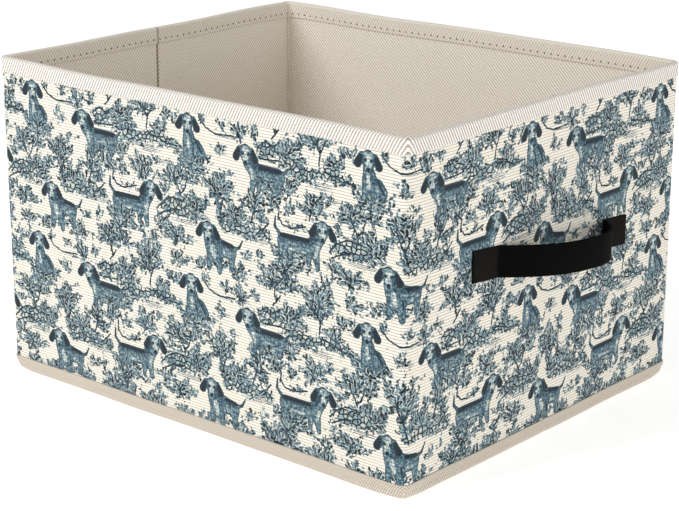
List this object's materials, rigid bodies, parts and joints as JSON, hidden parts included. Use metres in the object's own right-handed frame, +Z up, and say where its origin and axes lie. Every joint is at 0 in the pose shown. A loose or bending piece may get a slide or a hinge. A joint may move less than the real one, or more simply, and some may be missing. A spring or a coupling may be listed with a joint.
{
  "type": "fabric storage bin",
  "caption": "Rectangular open-top collapsible bin with stiffened printed-fabric walls, taped rim and foot, a flat strap handle on each end and a hinged base board",
  "frame": {"origin": "centre of the bottom face, on the surface the bin stands on", "axes": "+Z up, +X along the long front wall towards one end wall, -Y the outward direction of the front wall"},
  "size_m": [0.437, 0.3136, 0.24],
  "materials": {
    "printed_cover": "matte ribbed canvas with a blue line print",
    "lining_fabric": "matte, fine diagonal texture",
    "binding_tape": "matte woven tape",
    "base_cloth": "matte non-woven cloth",
    "stiffener_board": "matte grey-brown paperboard",
    "handle_strap": "matte flat webbing"
  },
  "bodies": {
    "front": {"front_cover": "printed_cover", "front_board": "stiffener_board", "front_lining": "lining_fabric", "front_rim_tape": "binding_tape", "front_foot_tape": "binding_tape", "base_fabric": "base_cloth"},
    "back": {"back_cover": "printed_cover", "back_board": "stiffener_board", "back_lining": "lining_fabric", "back_rim_tape": "binding_tape", "back_foot_tape": "binding_tape"},
    "right_front": {"right_front_cover": "printed_cover", "right_front_board": "stiffener_board", "right_front_lining": "lining_fabric", "right_front_rim_tape": "binding_tape", "right_front_foot_tape": "binding_tape", "right_handle_strap": "handle_strap"},
    "right_back": {"right_back_cover": "printed_cover", "right_back_board": "stiffener_board", "right_back_lining": "lining_fabric", "right_back_rim_tape": "binding_tape", "right_back_foot_tape": "binding_tape"},
    "left_front": {"left_front_cover": "printed_cover", "left_front_board": "stiffener_board", "left_front_lining": "lining_fabric", "left_front_rim_tape": "binding_tape", "left_front_foot_tape": "binding_tape", "left_handle_strap": "handle_strap"},
    "left_back": {"left_back_cover": "printed_cover", "left_back_board": "stiffener_board", "left_back_lining": "lining_fabric", "left_back_rim_tape": "binding_tape", "left_back_foot_tape": "binding_tape"},
    "base_panel": {"base_board": "stiffener_board", "base_board_skin": "lining_fabric", "base_pull_tab": "binding_tape"}
  },
  "joints": [
    {"name": "wall_fold", "type": "hinge", "parent": "front", "child": "right_front", "pos_m": [0.1841, -0.1496, 0.12], "axis": [0, 0, 1], "range_deg": [0, 86], "deforming": ["base_fabric", "right_handle_strap", "left_handle_strap", "back_foot_tape", "right_front_foot_tape", "right_back_foot_tape", "left_front_foot_tape", "left_back_foot_tape"]},
    {"name": "right_crease", "type": "hinge", "parent": "right_front", "child": "right_back", "pos_m": [0.1917, 0, 0.12], "axis": [0, 0, 1], "range_deg": [-172, 0]},
    {"name": "right_back_corner", "type": "hinge", "parent": "right_back", "child": "back", "pos_m": [0.1841, 0.1496, 0.12], "axis": [0, 0, 1], "range_deg": [0, 86]},
    {"name": "left_corner", "type": "hinge", "parent": "front", "child": "left_front", "pos_m": [-0.1841, -0.1496, 0.12], "axis": [0, 0, 1], "range_deg": [-86, 0]},
    {"name": "left_crease", "type": "hinge", "parent": "left_front", "child": "left_back", "pos_m": [-0.1917, 0, 0.12], "axis": [0, 0, 1], "range_deg": [0, 172]},
    {"name": "base_flip", "type": "hinge", "parent": "front", "child": "base_panel", "pos_m": [0, -0.1514, 0.0041], "axis": [1, 0, 0], "range_deg": [0, 90]}
  ],
  "couplings": [
    {"joint": "right_crease", "follows": "wall_fold", "ratio": -2},
    {"joint": "right_back_corner", "follows": "wall_fold", "ratio": 1},
    {"joint": "left_corner", "follows": "wall_fold", "ratio": -1},
    {"joint": "left_crease", "follows": "wall_fold", "ratio": 2}
  ]
}
